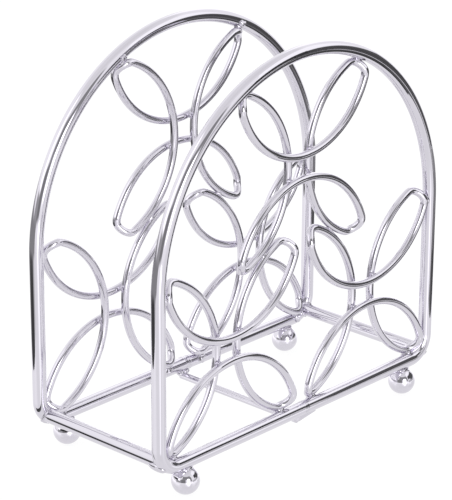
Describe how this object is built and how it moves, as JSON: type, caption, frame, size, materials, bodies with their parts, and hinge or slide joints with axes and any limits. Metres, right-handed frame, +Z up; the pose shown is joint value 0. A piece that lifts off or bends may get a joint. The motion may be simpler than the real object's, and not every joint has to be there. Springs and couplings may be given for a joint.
{
  "type": "napkin holder",
  "caption": "Upright wire napkin holder: arched chrome wire panels filled with looped wire flowers, joined by base rails and standing on ball feet.",
  "frame": {"origin": "on the table, in the middle of the four ball feet", "axes": "+Z up; X along the panels; Y across the napkin slot, with the front panel at -Y"},
  "size_m": [0.1606, 0.075, 0.161],
  "materials": {
    "frame_wire": "bright chrome plate",
    "flower_wire": "bright chrome plate",
    "ball_foot": "polished chrome plate",
    "weld_bead": "chrome plate over rough weld metal"
  },
  "bodies": {
    "root": {"front_arch_frame": "frame_wire", "rear_arch_frame": "frame_wire", "left_end_rail": "frame_wire", "right_end_rail": "frame_wire", "front_top_flower": "flower_wire", "front_left_flower": "flower_wire", "front_right_flower": "flower_wire", "rear_top_flower": "flower_wire", "rear_left_flower": "flower_wire", "rear_right_flower": "flower_wire", "centre_cross_wire": "flower_wire", "front_joint_plate": "flower_wire", "front_left_ball_foot": "ball_foot", "front_right_ball_foot": "ball_foot", "rear_left_ball_foot": "ball_foot", "rear_right_ball_foot": "ball_foot", "ball_foot_welds": "weld_bead", "rail_butt_welds": "weld_bead", "end_rail_welds": "weld_bead", "cross_wire_welds": "weld_bead", "petal_arch_welds": "weld_bead", "petal_post_welds": "weld_bead", "petal_rail_welds": "weld_bead", "petal_petal_welds": "weld_bead", "crossing_welds": "weld_bead"}
  },
  "joints": []
}
